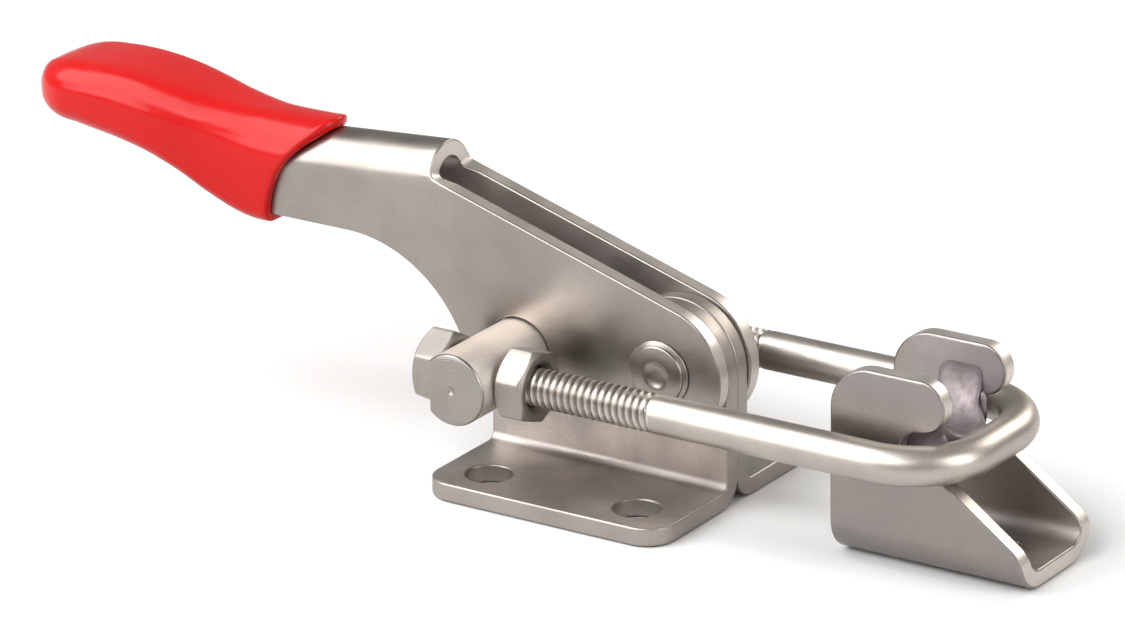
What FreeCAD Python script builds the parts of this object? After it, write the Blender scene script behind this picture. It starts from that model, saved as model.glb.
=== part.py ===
"""Toggle bolt latch: a pull-action clamp with an adjustable U-bolt and its separate latch plate.

Frame: millimetres, +Z up, +X from the clamp base towards the latch plate, Y across.
Origin: centre of the base's four mounting holes, on the mounting surface (z = 0).
The latch is closed: the U-bolt's crossbar lies in the latch plate's slot.
"""
import FreeCAD
import Part
import math
import os

import Sketcher

# Driving dimensions: alias, value in mm, what it is.
DIMENSIONS = [
    ("sheet", 3.0, "steel sheet of the base and the latch plate"),
    ("base_length", 44.6, "flange length along X"),
    ("base_half_width", 23.8, "flange reach from the middle plane"),
    ("base_bend", 4.4, "outer bend radius of the base"),
    ("flange_corner", 5.0, "corner radius of the flanges"),
    ("hole_pitch_x", 27.9, "mounting hole spacing along X"),
    ("hole_pitch_y", 32.9, "mounting hole spacing along Y"),
    ("hole_radius", 3.8, "mounting hole radius"),
    ("pivot_x", 11.5, "main pivot"),
    ("pivot_z", 21.6, "main pivot height"),
    ("base_nose", 10.8, "radius of the base's ends round the main pivot"),
    ("rail_top", 13.2, "top of the low part of the base walls"),
    ("rivet_radius", 4.0, "shank of the main pivot"),
    ("rivet_head", 5.5, "head radius of the main pivot"),
    ("rivet_proud", 1.0, "head height"),
    ("dimple_radius", 2.1, "dimple in each rivet head"),
    ("running_clearance", 0.1, "radial clearance of shafts in their holes"),
    ("face_gap", 0.15, "side clearance between faces that slide"),
    ("handle_sheet", 2.85, "sheet of the handle"),
    ("handle_nose", 11.2, "radius of the handle's end round the main pivot"),
    ("handle_slope", 16.8, "fall of the handle's top edges, degrees"),
    ("slot_end_x", -32.0, "where the handle's web starts"),
    ("web_front_z", 50.9, "web top at its front end"),
    ("web_rear_z", 48.5, "web top at its rear end"),
    ("web_flat", 0.2, "flat left along the web's rounded top"),
    ("channel_rear_x", -65.0, "where the channel turns into the tang"),
    ("shank_z", 34.5, "lower edge of the channel"),
    ("shank_arc", 24.0, "arc from the channel's lower edge down to the trunnion"),
    ("shank_arc_x", -48.0, "where that arc starts"),
    ("waist_z", 11.6, "straight lower edge between the trunnion and the main pivot"),
    ("trunnion_x", -15.2, "trunnion axis"),
    ("axis_z", 19.6, "height of the trunnion and of the U-bolt"),
    ("trunnion_radius", 5.95, "trunnion"),
    ("trunnion_clearance", 0.1, "radial clearance of the trunnion in the handle"),
    ("trunnion_half", 25.0, "half of its length"),
    ("trunnion_flat", 4.2, "nut seats, from its axis"),
    ("rod_radius", 3.175, "quarter-inch rod"),
    ("leg_y", 16.45, "U-bolt legs from the middle plane"),
    ("crossbar_x", 68.6, "U-bolt crossbar axis"),
    ("rod_bend", 12.0, "U-bolt bend radius, on the rod's axis"),
    ("nut_flats", 11.1, "across the nut's flats"),
    ("nut_height", 5.2, "nut"),
    ("nut_face", 5.45, "radius of the nut's flat faces"),
    ("nut_chamfer", 30.0, "slope of the turned chamfers round those faces, degrees"),
    ("latch_rear_x", 45.7, "rear edges of the latch plate"),
    ("latch_front_x", 79.6, "front end of the latch plate"),
    ("latch_half_width", 11.0, "latch plate, middle plane to outer faces"),
    ("latch_bend", 6.0, "its outer bend radius"),
    ("ear_top_z", 31.8, "top of the hooking ears"),
    ("ear_rear_corner", 7.0, "rear corner of the ears"),
    ("ear_nose", 4.2, "rounded front end of the ears"),
    ("ear_nose_x", 61.6, "centre of that rounded end"),
    ("slot_floor_z", 15.9, "lower edge of the crossbar slot"),
    ("ramp_top_x", 65.8, "where the slope starts"),
    ("ramp_foot_z", 6.0, "where the slope ends, at the front end"),
    ("ramp_foot_corner", 4.0, "rounding at the foot of the slope"),
    ("latch_hole_radius", 2.75, "latch plate mounting holes"),
    ("latch_hole_x", 50.3, "rear hole"),
    ("latch_hole_pitch", 20.0, "hole spacing along X"),
    ("saddle_rear_x", 54.0, "rear end of the saddle"),
    ("saddle_front_x", 65.0, "its front face, which takes the crossbar's pull"),
    ("saddle_trough", 7.8, "radius of the saddle's trough"),
    ("saddle_low_z", 20.6, "bottom of the trough"),
    ("saddle_top_z", 28.6, "top of the saddle's sides"),
    ("saddle_lip", 1.0, "upright part of its front face above the trough's bottom"),
    ("saddle_lean", 3.4, "how far its sides lean back above that"),
    ("saddle_taper_x", 4.5, "length of the tapers at its front corners"),
    ("saddle_taper_y", 3.6, "their width"),
    ("grip_wall", 1.35, "grip skin"),
    ("mouth_x", -53.0, "grip mouth at the top"),
    ("mouth_low_x", -63.2, "grip mouth at the underside"),
    ("mouth_middle_z", 44.0, "height at which the mouth's edge curves back the most"),
    ("mouth_bulge", 1.4, "by how much"),
    ("wall_corner", 4.0, "inside corner where the base walls step up"),
    ("rivet_edge", 0.5, "rounded rim of the rivet heads"),
    ("dimple_depth", 0.45, "depth of the dimples"),
    ("trunnion_chamfer", 0.5, "trunnion ends"),
    ("leg_proud", 0.4, "nut face beyond the end of each U-bolt leg"),
]
size = {alias: value for alias, value, note in DIMENSIONS}

# Grip stations along X: x, half width, underside z, top z, radius of the upper corners.
# The grip is deep over the channel, narrows, and ends in a flat paddle.
GRIP_STATIONS = [
    (-46.0, 7.5, 33.0, 51.15, 6.0),
    (-56.0, 7.5, 33.0, 50.7, 6.0),
    (-65.0, 7.5, 33.1, 50.2, 5.9),
    (-73.0, 7.95, 35.3, 50.8, 5.2),
    (-81.0, 9.2, 39.5, 52.3, 4.4),
    (-89.0, 9.95, 42.3, 53.5, 3.8),
    (-97.0, 10.0, 43.8, 54.2, 3.2),
    (-104.0, 9.4, 44.9, 53.8, 3.1),
    (-108.5, 7.5, 46.0, 52.8, 2.6),
    (-111.2, 3.6, 47.6, 51.0, 1.2),
]
LOWER_CORNER = 2.4
LEAST_CORNER = 0.6
TANG_END_X = -105
TRAY_END_X = -100
GRIP_HOLLOW_END_X = -109
# Levels that clear everything above the object, and the grip from below; far sides of cuts.
BEYOND = 90.0
BELOW_GRIP = 25.0

# Nuts: name, leg, seat on the trunnion, angle about the leg in degrees.
# Leg -1 is the front one; seat -1 is the flat towards the grip.
NUTS = [
    ("nut_front_outer", -1, -1, 30),
    ("nut_front_inner", -1, 1, 41),
    ("nut_back_outer", 1, -1, 18),
    ("nut_back_inner", 1, 1, 5),
]

doc = FreeCAD.newDocument("toggle_bolt_latch")


def write_sheet():
    """One row for each driving dimension: name, value, note."""
    sheet = doc.addObject("Spreadsheet::Sheet", "Sizes")
    for row, (alias, value, note) in enumerate(DIMENSIONS, start=1):
        sheet.set(f"A{row}", alias)
        sheet.set(f"B{row}", str(value))
        sheet.set(f"C{row}", note)
        sheet.setAlias(f"B{row}", alias)
    doc.recompute()
    return sheet


def new_body(label):
    body = doc.addObject("PartDesign::Body", label)
    body.Label = label
    body.Placement = FreeCAD.Placement()
    return body


def new_sketch(body, name, role, offset=None):
    """A sketch on one of the body's origin planes; offset is an expression along its normal."""
    sketch = body.newObject("Sketcher::SketchObject", f"{body.Name}_{name}")
    plane = [item for item in body.Origin.OriginFeatures if item.Role == role][0]
    sketch.AttachmentSupport = [(plane, "")]
    sketch.MapMode = "FlatFace"
    if offset is not None:
        sketch.setExpression("AttachmentOffset.Base.z", offset)
    return sketch


def flat(point):
    return FreeCAD.Vector(point[0], point[1], 0)


def draw_path(sketch, start, steps):
    """Closed outline. A step is (end,) for a straight run or (middle, end) for an arc."""
    here = start
    first = sketch.GeometryCount
    for step in steps:
        end = step[-1]
        if len(step) == 2:
            sketch.addGeometry(Part.Arc(flat(here), flat(step[0]), flat(end)), False)
        else:
            sketch.addGeometry(Part.LineSegment(flat(here), flat(end)), False)
        here = end
    join_ends(sketch, first, len(steps))


def join_ends(sketch, first, count):
    """Coincident constraints between each piece's nearest end and the next piece."""
    for index in range(count):
        this = first + index
        following = first + (index + 1) % count
        near = min(
            ((a, b) for a in (1, 2) for b in (1, 2)),
            key=lambda pair: (sketch.getPoint(this, pair[0]) - sketch.getPoint(following, pair[1])).Length,
        )
        sketch.addConstraint(Sketcher.Constraint("Coincident", this, near[0], following, near[1]))


def draw_rounded(sketch, corners):
    """Closed polygon; each corner is (u, v, radius)."""
    steps = []
    count = len(corners)
    for index, (u, v, radius) in enumerate(corners):
        corner = flat((u, v))
        before = (flat(corners[index - 1]) - corner).normalize()
        after = (flat(corners[(index + 1) % count]) - corner).normalize()
        half = before.getAngle(after) / 2
        if radius == 0:
            steps.append(((corner.x, corner.y),))
            continue
        reach = radius / math.tan(half)
        enter = corner + before * reach
        leave = corner + after * reach
        bisector = (before + after).normalize()
        middle = corner + bisector * (radius / math.sin(half) - radius)
        steps.append(((enter.x, enter.y),))
        steps.append(((middle.x, middle.y), (leave.x, leave.y)))
    draw_path(sketch, steps[-1][-1], steps)


def draw_circle(sketch, centre, expression, value):
    """Circle whose radius is bound to the sheet."""
    circle = Part.Circle(flat(centre), FreeCAD.Vector(0, 0, 1), value)
    index = sketch.addGeometry(circle, False)
    constraint = sketch.addConstraint(Sketcher.Constraint("Radius", index, value))
    sketch.setExpression(f"Constraints[{constraint}]", expression)


def pad(body, sketch, length, midplane=False, reverse=False):
    feature = body.newObject("PartDesign::Pad", sketch.Name + "_pad")
    feature.Profile = sketch
    feature.setExpression("Length", length)
    feature.SideType = "Symmetric" if midplane else "One side"
    feature.Reversed = reverse
    doc.recompute()
    return feature


def pocket(body, sketch):
    """Cut right through on both sides of the sketch, and check that something went."""
    before = body.Shape.Volume
    feature = body.newObject("PartDesign::Pocket", sketch.Name + "_cut")
    feature.Profile = sketch
    feature.SideType = "Symmetric"
    feature.Length = 200
    doc.recompute()
    if body.Shape.Volume > before - 0.01:
        raise RuntimeError(f"{feature.Name} cuts nothing")
    return feature


def edges_where(body, test):
    """Names of the edges whose two ends and middle all pass the test."""
    names = []
    for number, edge in enumerate(body.Shape.Edges, start=1):
        middle = edge.valueAt((edge.FirstParameter + edge.LastParameter) / 2)
        points = [vertex.Point for vertex in edge.Vertexes] + [middle]
        if all(test(point) for point in points):
            names.append(f"Edge{number}")
    return names


def round_edges(body, test, radius):
    base = body.Tip
    names = edges_where(body, test)
    feature = body.newObject("PartDesign::Fillet", f"{body.Name}_round")
    feature.Base = (base, names)
    feature.Radius = radius
    doc.recompute()
    return feature


def near(value, target, tolerance=0.02):
    return abs(value - target) < tolerance


def base_plate(label, side):
    """One of the two angle plates that stand back to back; side is -1 in front, +1 behind."""
    body = new_body(label)
    thick = size["sheet"]
    bend = size["base_bend"]
    inner = bend - thick
    reach = size["base_half_width"]
    wall_top = size["pivot_z"] + size["base_nose"]
    diagonal = math.sqrt(0.5)
    section = new_sketch(body, "section", "YZ_Plane")
    draw_path(section, (0, wall_top), [
        ((0, bend),),
        ((side * bend * (1 - diagonal), bend * (1 - diagonal)), (side * bend, 0)),
        ((side * reach, 0),),
        ((side * reach, thick),),
        ((side * bend, thick),),
        ((side * (bend - inner * diagonal), bend - inner * diagonal), (side * thick, bend)),
        ((side * thick, wall_top),),
        ((0, wall_top),),
    ])
    pad(body, section, "Sizes.base_length", midplane=True)
    cut_wall_outline(body)
    drill_base(body, side)
    end = size["base_length"] / 2
    round_edges(body, lambda p: near(abs(p.x), end) and near(p.y, side * reach), size["flange_corner"])
    return body


def cut_wall_outline(body):
    """The wall is low under the trunnion and rises to a round end at the main pivot."""
    x = size["pivot_x"]
    z = size["pivot_z"]
    nose = size["base_nose"]
    low = size["rail_top"]
    corner = size["wall_corner"]
    turn = corner * (1 - math.sqrt(0.5))
    outline = new_sketch(body, "wall_outline", "XZ_Plane")
    draw_path(outline, (-BEYOND, low), [
        ((x - nose - corner, low),),
        ((x - nose - turn, low + turn), (x - nose, low + corner)),
        ((x - nose, z),),
        ((x, z + nose), (x + nose, z)),
        ((BEYOND, z),),
        ((BEYOND, BEYOND),),
        ((-BEYOND, BEYOND),),
        ((-BEYOND, low),),
    ])
    pocket(body, outline)
    bore = new_sketch(body, "pivot_bore", "XZ_Plane")
    draw_circle(bore, (x, z), "Sizes.rivet_radius", size["rivet_radius"])
    pocket(body, bore)


def drill_base(body, side):
    holes = new_sketch(body, "mounting_holes", "XY_Plane")
    for end in (-1, 1):
        centre = (end * size["hole_pitch_x"] / 2, side * size["hole_pitch_y"] / 2)
        draw_circle(holes, centre, "Sizes.hole_radius", size["hole_radius"])
    pocket(body, holes)


def pivot_rivet():
    """Shank through all four plates, with a low dimpled head at each end."""
    body = new_body("pivot_rivet")
    inner = size["sheet"] + size["face_gap"] + size["handle_sheet"] + size["running_clearance"]
    outer = inner + size["rivet_proud"]
    head = size["rivet_head"]
    shank = size["rivet_radius"]
    edge = size["rivet_edge"]
    turn = edge * (1 - math.sqrt(0.5))
    dimple = size["dimple_radius"]
    depth = size["dimple_depth"]
    profile = new_sketch(body, "profile", "YZ_Plane", "Sizes.pivot_x")
    z = size["pivot_z"]
    draw_path(profile, (-(outer - depth), z), [
        ((-(outer - depth), z + dimple - depth),),
        ((-outer, z + dimple),),
        ((-outer, z + head - edge),),
        ((-(outer - turn), z + head - turn), (-(outer - edge), z + head)),
        ((-inner, z + head),),
        ((-inner, z + shank),),
        ((inner, z + shank),),
        ((inner, z + head),),
        ((outer - edge, z + head),),
        ((outer - turn, z + head - turn), (outer, z + head - edge)),
        ((outer, z + dimple),),
        ((outer - depth, z + dimple - depth),),
        ((outer - depth, z),),
        ((-(outer - depth), z),),
    ])
    turned = body.newObject("PartDesign::Revolution", "pivot_rivet_turned")
    turned.Profile = profile
    turned.ReferenceAxis = (profile, [f"Edge{len(profile.Geometry)}"])
    turned.Angle = 360
    doc.recompute()
    return body


def top_line(x):
    """Height of the web's top, a straight line that falls towards the grip."""
    front = size["slot_end_x"]
    rear = size["channel_rear_x"]
    share = (front - x) / (front - rear)
    return size["web_front_z"] + share * (size["web_rear_z"] - size["web_front_z"])


def handle_outline():
    """Side view of the channel: nose, sloping top edges, web, lower edge, trunnion boss."""
    slope = math.radians(size["handle_slope"])
    px, pz = size["pivot_x"], size["pivot_z"]
    tx, tz = size["trunnion_x"], size["axis_z"]
    nose = size["handle_nose"]
    front = size["slot_end_x"]
    rear = size["channel_rear_x"]
    tangent = (px + nose * math.sin(slope), pz + nose * math.cos(slope))
    lip_z = tangent[1] + (tangent[0] - front) * math.tan(slope)
    arc = size["shank_arc"]
    arc_x = size["shank_arc_x"]
    arc_z = size["shank_z"] - arc
    boss = math.hypot(tx - arc_x, tz - arc_z) - arc
    rise = math.atan2(tz - arc_z, tx - arc_x)
    arc_end = (arc_x + arc * math.cos(rise), arc_z + arc * math.sin(rise))
    half_way = (math.pi / 2 + rise) / 2
    arc_middle = (arc_x + arc * math.cos(half_way), arc_z + arc * math.sin(half_way))
    waist = size["waist_z"]
    boss_foot = (tx + math.sqrt(boss ** 2 - (tz - waist) ** 2), waist)
    nose_foot = (px + math.sqrt(nose ** 2 - (pz - waist) ** 2), waist)
    return tangent, [
        ((front, lip_z),),
        ((front, top_line(front)),),
        ((rear, top_line(rear)),),
        ((rear, size["shank_z"]),),
        ((arc_x, size["shank_z"]),),
        (arc_middle, arc_end),
        ((tx - boss * 0.6, tz - boss * 0.8), boss_foot),
        (nose_foot,),
        ((px + nose * math.cos(slope), pz - nose * math.sin(slope)), tangent),
    ]


def handle_channel():
    """Handle: two side plates joined by a round-topped web, and a tang inside the grip."""
    body = new_body("handle_channel")
    half = size["sheet"] + size["face_gap"] + size["handle_sheet"]
    start, steps = handle_outline()
    outline = new_sketch(body, "outline", "XZ_Plane")
    draw_path(outline, start, steps)
    pad(body, outline, "2 * (Sizes.sheet + Sizes.face_gap + Sizes.handle_sheet)", midplane=True)
    front = size["slot_end_x"]
    web_edges = lambda p: near(abs(p.y), half) and near(p.z, top_line(p.x)) and p.x <= front + 0.01
    round_edges(body, web_edges, half - size["web_flat"] / 2)
    add_tang(body)
    hollow_channel(body, half)
    hollow_tang(body)
    holes = new_sketch(body, "pin_holes", "XZ_Plane")
    pivot = (size["pivot_x"], size["pivot_z"])
    draw_circle(holes, pivot, "Sizes.rivet_radius + Sizes.running_clearance / 2",
                size["rivet_radius"] + size["running_clearance"] / 2)
    trunnion = (size["trunnion_x"], size["axis_z"])
    draw_circle(holes, trunnion, "Sizes.trunnion_radius + Sizes.trunnion_clearance",
                size["trunnion_radius"] + size["trunnion_clearance"])
    pocket(body, holes)
    return body


def hollow_channel(body, half):
    """Clear the space between the side plates: under the web, and right up through the slot."""
    front = size["slot_end_x"]
    rear = size["channel_rear_x"]
    sheet = size["handle_sheet"]
    behind = rear - size["running_clearance"]
    inside = new_sketch(body, "inside", "XZ_Plane")
    draw_path(inside, (BEYOND, BEYOND), [
        ((front, BEYOND),),
        ((front, top_line(front) - sheet),),
        ((behind, top_line(rear) - sheet),),
        ((behind, 0),),
        ((BEYOND, 0),),
        ((BEYOND, BEYOND),),
    ])
    before = body.Shape.Volume
    cut = body.newObject("PartDesign::Pocket", inside.Name + "_cut")
    cut.Profile = inside
    cut.SideType = "Symmetric"
    cut.setExpression("Length", "2 * (Sizes.sheet + Sizes.face_gap)")
    doc.recompute()
    if body.Shape.Volume > before - 0.01:
        raise RuntimeError(f"{cut.Name} cuts nothing")


def draw_station(sketch, station, inset, floor=None):
    """One cross-section of the grip, its tang or its cavity, drawn inset by a distance."""
    x, half_width, under, top, corner = station
    half = half_width - inset
    low = under + inset if floor is None else floor
    high = top - inset
    most = min(half, (high - low) / 2) * 0.9
    upper = min(max(corner - inset, LEAST_CORNER), most)
    lower = min(max(LOWER_CORNER - inset, LEAST_CORNER), most)
    draw_rounded(sketch, [
        (-half, low, lower),
        (half, low, lower),
        (half, high, upper),
        (-half, high, upper),
    ])


def station_sketches(body, name, stations, inset, floor=None):
    sketches = []
    for number, station in enumerate(stations):
        sketch = new_sketch(body, f"{name}_{number}", "YZ_Plane")
        sketch.AttachmentOffset = FreeCAD.Placement(FreeCAD.Vector(0, 0, station[0]), FreeCAD.Rotation())
        draw_station(sketch, station, inset, floor)
        sketches.append(sketch)
    doc.recompute()
    return sketches


def loft(body, kind, sketches, name):
    before = body.Shape.Volume if body.Tip else 0
    feature = body.newObject(f"PartDesign::{kind}", f"{body.Name}_{name}")
    feature.Profile = sketches[0]
    feature.Sections = [(sketch, [""]) for sketch in sketches[1:]]
    feature.Ruled = True
    doc.recompute()
    if near(body.Shape.Volume, before, 0.01):
        raise RuntimeError(f"{feature.Name} changes nothing")
    return feature


def add_tang(body):
    """The channel runs on inside the grip and flattens into a paddle."""
    gap = size["grip_wall"] + size["face_gap"]
    stations = [item for item in GRIP_STATIONS if TANG_END_X < item[0] <= size["channel_rear_x"]]
    loft(body, "AdditiveLoft", station_sketches(body, "tang", stations, gap), "tang")


def hollow_tang(body):
    """The tang is sheet too: it is open underneath like the channel."""
    gap = size["grip_wall"] + size["face_gap"] + size["handle_sheet"]
    stations = [item for item in GRIP_STATIONS if TRAY_END_X < item[0] <= size["channel_rear_x"]]
    loft(body, "SubtractiveLoft", station_sketches(body, "tray", stations, gap, BELOW_GRIP), "tray")


def handle_grip():
    """Dipped vinyl sleeve: closed at the paddle end, its mouth cut on a slant."""
    body = new_body("handle_grip")
    loft(body, "AdditiveLoft", station_sketches(body, "skin", GRIP_STATIONS, 0), "skin")
    wall = size["grip_wall"]
    stations = [item for item in GRIP_STATIONS if item[0] > GRIP_HOLLOW_END_X]
    loft(body, "SubtractiveLoft", station_sketches(body, "hollow", stations, wall), "hollow")
    mouth = new_sketch(body, "mouth", "XZ_Plane")
    top = size["mouth_x"]
    low = size["mouth_low_x"]
    high_z = GRIP_STATIONS[0][3]
    low_z = GRIP_STATIONS[0][2] - 1
    middle = (top + low) / 2 - size["mouth_bulge"]
    draw_path(mouth, (top, high_z), [
        ((middle, size["mouth_middle_z"]), (low, low_z)),
        ((0, low_z),),
        ((0, BEYOND),),
        ((top, BEYOND),),
        ((top, high_z),),
    ])
    pocket(body, mouth)
    return body


def trunnion():
    """Cross bar in the handle that carries both U-bolt legs, with a flat seat for the nuts."""
    body = new_body("trunnion")
    profile = new_sketch(body, "section", "XZ_Plane")
    centre = (size["trunnion_x"], size["axis_z"])
    draw_circle(profile, centre, "Sizes.trunnion_radius", size["trunnion_radius"])
    pad(body, profile, "2 * Sizes.trunnion_half", midplane=True)
    half = size["trunnion_half"]
    rim = lambda p: near(abs(p.y), half)
    base = body.Tip
    names = edges_where(body, rim)
    chamfer = body.newObject("PartDesign::Chamfer", "trunnion_chamfer")
    chamfer.Base = (base, names)
    chamfer.Size = size["trunnion_chamfer"]
    doc.recompute()
    flats = new_sketch(body, "flat", "XZ_Plane")
    seat = centre[0] - size["trunnion_flat"]
    draw_rounded(flats, [(-BEYOND, 0, 0), (seat, 0, 0), (seat, BEYOND, 0), (-BEYOND, BEYOND, 0)])
    pocket(body, flats)
    bores = new_sketch(body, "leg_bores", "YZ_Plane")
    for side in (-1, 1):
        draw_circle(bores, (side * size["leg_y"], size["axis_z"]),
                    "Sizes.rod_radius + Sizes.running_clearance",
                    size["rod_radius"] + size["running_clearance"])
    pocket(body, bores)
    return body


def seat_x(side):
    """Nut seats: the flat on the handle side (-1), the round face on the latch side (+1)."""
    reach = size["trunnion_flat"] if side < 0 else size["trunnion_radius"]
    return size["trunnion_x"] + side * (reach + size["face_gap"])


def u_bolt():
    """Bent rod: two legs, two bends and the crossbar, all in one level plane."""
    body = new_body("u_bolt")
    leg = size["leg_y"]
    bend = size["rod_bend"]
    front = size["crossbar_x"]
    z = size["axis_z"]
    start = seat_x(-1) - size["nut_height"] + size["leg_proud"]
    turn = bend * (1 - math.sqrt(0.5))
    route = new_sketch(body, "route", "XY_Plane", "Sizes.axis_z")
    points = [
        ((front - bend, -leg),),
        ((front - turn, -leg + turn), (front, -leg + bend)),
        ((front, leg - bend),),
        ((front - turn, leg - turn), (front - bend, leg)),
        ((start, leg),),
    ]
    here = (start, -leg)
    for step in points:
        if len(step) == 2:
            route.addGeometry(Part.Arc(flat(here), flat(step[0]), flat(step[1])), False)
        else:
            route.addGeometry(Part.LineSegment(flat(here), flat(step[0])), False)
        here = step[-1]
    section = new_sketch(body, "section", "YZ_Plane")
    section.AttachmentOffset = FreeCAD.Placement(FreeCAD.Vector(0, 0, start), FreeCAD.Rotation())
    draw_circle(section, (-leg, z), "Sizes.rod_radius", size["rod_radius"])
    doc.recompute()
    rod = body.newObject("PartDesign::AdditivePipe", "u_bolt_rod")
    rod.Profile = section
    rod.Spine = route
    doc.recompute()
    return body


def nut(label, leg_side, seat_side, turn):
    """Hexagon nut on a U-bolt leg, against the trunnion; turn is its angle about the leg."""
    body = new_body(label)
    near_face = seat_x(seat_side)
    far_face = near_face + seat_side * size["nut_height"]
    centre = (leg_side * size["leg_y"], size["axis_z"])
    corner = size["nut_flats"] / math.sqrt(3)
    hexagon = new_sketch(body, "hexagon", "YZ_Plane")
    hexagon.AttachmentOffset = FreeCAD.Placement(
        FreeCAD.Vector(0, 0, min(near_face, far_face)), FreeCAD.Rotation())
    corners = []
    for index in range(6):
        angle = math.radians(60 * index + turn)
        corners.append((centre[0] + corner * math.cos(angle), centre[1] + corner * math.sin(angle), 0))
    draw_rounded(hexagon, corners)
    pad(body, hexagon, "Sizes.nut_height")
    round_off_corners(body, centre, near_face, far_face)
    bore = new_sketch(body, "bore", "YZ_Plane")
    draw_circle(bore, centre, "Sizes.rod_radius + Sizes.running_clearance",
                size["rod_radius"] + size["running_clearance"])
    pocket(body, bore)
    return body


def round_off_corners(body, centre, near_face, far_face):
    """Turned chamfers take the hexagon's corners off at both faces."""
    rim = size["nut_face"]
    outside = size["nut_flats"]
    drop = (outside - rim) * math.tan(math.radians(size["nut_chamfer"]))
    low, high = sorted((near_face, far_face))
    plane = new_sketch(body, "chamfers", "XZ_Plane", f"{-centre[0]}")
    z = centre[1]
    for face, inward in ((low, 1), (high, -1)):
        draw_rounded(plane, [
            (face - inward, z + rim, 0),
            (face, z + rim, 0),
            (face + inward * drop, z + outside, 0),
            (face - inward, z + outside, 0),
        ])
    plane.addGeometry(Part.LineSegment(flat((low, z)), flat((high, z))), True)
    groove = body.newObject("PartDesign::Groove", body.Name + "_turned")
    groove.Profile = plane
    groove.ReferenceAxis = (plane, ["Axis0"])
    groove.Angle = 360
    doc.recompute()


def latch_plate():
    """Channel with two hooking ears: open slots for the crossbar and sloping front edges."""
    body = new_body("latch_plate")
    half = size["latch_half_width"]
    sheet = size["sheet"]
    bend = size["latch_bend"]
    inner = bend - sheet
    top = size["ear_top_z"]
    diagonal = math.sqrt(0.5)
    section = new_sketch(body, "section", "YZ_Plane", "Sizes.latch_rear_x")
    web = half - bend
    draw_path(section, (-half, top), [
        ((-half, bend),),
        ((-web - bend * diagonal, bend - bend * diagonal), (-web, 0)),
        ((web, 0),),
        ((web + bend * diagonal, bend - bend * diagonal), (half, bend)),
        ((half, top),),
        ((half - sheet, top),),
        ((half - sheet, bend),),
        ((web + inner * diagonal, bend - inner * diagonal), (web, sheet)),
        ((-web, sheet),),
        ((-web - inner * diagonal, bend - inner * diagonal), (-half + sheet, bend)),
        ((-half + sheet, top),),
        ((-half, top),),
    ])
    pad(body, section, "Sizes.latch_front_x - Sizes.latch_rear_x")
    cut_ears(body)
    holes = new_sketch(body, "mounting_holes", "XY_Plane")
    for index in range(2):
        centre = (size["latch_hole_x"] + index * size["latch_hole_pitch"], 0)
        draw_circle(holes, centre, "Sizes.latch_hole_radius", size["latch_hole_radius"])
    pocket(body, holes)
    return body


def cut_ears(body):
    """Everything above and in front of the walls' side view goes."""
    rear = size["latch_rear_x"]
    top = size["ear_top_z"]
    corner = size["ear_rear_corner"]
    nose = size["ear_nose"]
    nose_x = size["ear_nose_x"]
    under = top - 2 * nose
    floor = size["slot_floor_z"]
    slot = (under - floor) / 2
    turn = corner * (1 - math.sqrt(0.5))
    ramp_top, front, foot = size["ramp_top_x"], size["latch_front_x"], size["ramp_foot_z"]
    slope = math.atan2(floor - foot, front - ramp_top)
    rounding = size["ramp_foot_corner"]
    bend = math.pi / 2 - slope
    round_off = rounding * math.tan(bend / 2)
    middle_x = front - rounding * (1 - math.cos(bend / 2))
    middle_z = foot - round_off + rounding * math.sin(bend / 2)
    outline = new_sketch(body, "ears", "XZ_Plane")
    draw_path(outline, (0, top - corner), [
        ((rear, top - corner),),
        ((rear + turn, top - turn), (rear + corner, top)),
        ((nose_x, top),),
        ((nose_x + nose, top - nose), (nose_x, under)),
        ((nose_x - slot, floor + slot), (nose_x, floor)),
        ((ramp_top, floor),),
        ((front - round_off * math.cos(slope), foot + round_off * math.sin(slope)),),
        ((middle_x, middle_z), (front, foot - round_off)),
        ((BEYOND, foot - round_off),),
        ((BEYOND, BEYOND),),
        ((0, BEYOND),),
        ((0, top - corner),),
    ])
    pocket(body, outline)


def hook_saddle():
    """Block welded between the ears: its trough runs into them, its front takes the crossbar."""
    body = new_body("hook_saddle")
    half = size["latch_half_width"] - size["sheet"]
    trough = size["saddle_trough"]
    low = size["saddle_low_z"]
    top = size["saddle_top_z"]
    floor = size["slot_floor_z"]
    centre_z = low + trough
    edge = math.sqrt(trough ** 2 - (centre_z - top) ** 2)
    section = new_sketch(body, "section", "YZ_Plane", "Sizes.saddle_rear_x")
    draw_path(section, (-half, top), [
        ((-half, floor),),
        ((half, floor),),
        ((half, top),),
        ((edge, top),),
        ((0, low), (-edge, top)),
        ((-half, top),),
    ])
    pad(body, section, "Sizes.saddle_front_x - Sizes.saddle_rear_x")
    front = size["saddle_front_x"]
    lip_z = low + size["saddle_lip"]
    lean = new_sketch(body, "lean", "XZ_Plane")
    draw_rounded(lean, [
        (front, lip_z, 0),
        (BEYOND, lip_z, 0),
        (BEYOND, top, 0),
        (front - size["saddle_lean"], top, 0),
    ])
    pocket(body, lean)
    tapers = new_sketch(body, "tapers", "XY_Plane")
    for side in (-1, 1):
        draw_rounded(tapers, [
            (front - size["saddle_taper_x"], side * half, 0),
            (front, side * (half - size["saddle_taper_y"]), 0),
            (BEYOND, side * (half - size["saddle_taper_y"]), 0),
            (BEYOND, side * half, 0),
        ])
    pocket(body, tapers)
    return body


def build_all():
    write_sheet()
    pieces = [
        base_plate("base_plate_front", -1),
        base_plate("base_plate_back", 1),
        pivot_rivet(),
        handle_channel(),
        handle_grip(),
        trunnion(),
        u_bolt(),
        latch_plate(),
        hook_saddle(),
    ]
    pieces += [nut(*row) for row in NUTS]
    doc.recompute()
    return pieces


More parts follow.
